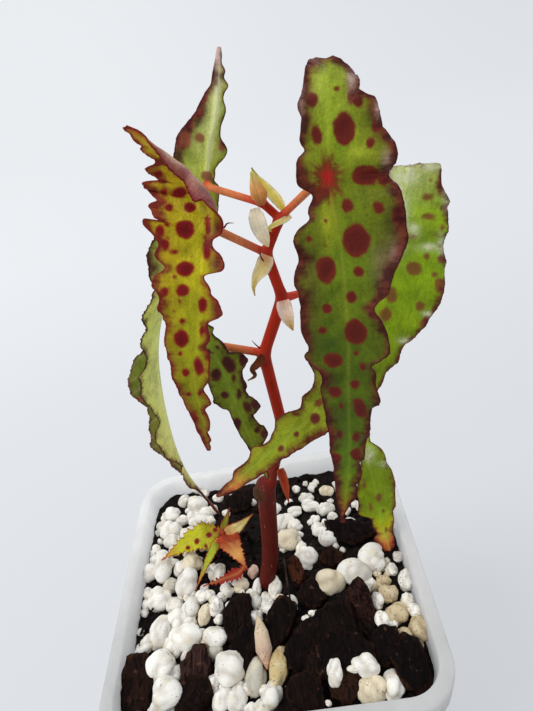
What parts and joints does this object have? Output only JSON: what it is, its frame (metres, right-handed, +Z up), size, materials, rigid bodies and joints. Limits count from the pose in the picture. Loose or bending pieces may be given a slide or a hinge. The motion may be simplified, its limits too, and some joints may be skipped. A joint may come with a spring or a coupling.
{
  "type": "potted begonia",
  "caption": "Young spotted begonia with narrow toothed leaves on a zigzag red cane, growing in bark and perlite in a square translucent nursery pot.",
  "frame": {"origin": "middle of the pot's underside, on the surface it stands on", "axes": "+Z up along the plant, -Y towards the pictured side, +X to the right of it"},
  "size_m": [0.0815, 0.07, 0.1853],
  "materials": {
    "pot_plastic": "frosted translucent white polypropylene",
    "dark_mix": "dark moist bark mix",
    "perlite": "white puffed mineral granules",
    "pumice": "tan porous stone",
    "cane": "smooth dark red stem, browner at the foot",
    "leaf_upper": "satin green leaf with dark red spots and margins",
    "leaf_underside": "paler green leaf underside with red-brown spots",
    "papery_scale": "papery cream stipule",
    "dry_scale": "dried brown scale",
    "young_leaf": "yellow-green young leaves with red teeth"
  },
  "bodies": {
    "root": {"pot": "pot_plastic", "potting_mix": "dark_mix", "perlite_left": "perlite", "perlite_front": "perlite", "pumice_right": "pumice", "stem": "cane", "leaf_right_front": "leaf_upper", "leaf_left_front": "leaf_upper", "leaf_low_back": "leaf_upper", "leaf_low_front": "leaf_upper", "leaf_left_back": "leaf_underside", "leaf_right_back": "leaf_underside", "stipule_top": "papery_scale", "stipule_side": "papery_scale", "stipule_curled": "papery_scale", "stipule_upper": "papery_scale", "stipule_middle": "papery_scale", "stipule_dry": "dry_scale", "stipule_low": "dry_scale", "growing_tip": "dry_scale", "basal_shoot": "young_leaf"}
  },
  "joints": []
}
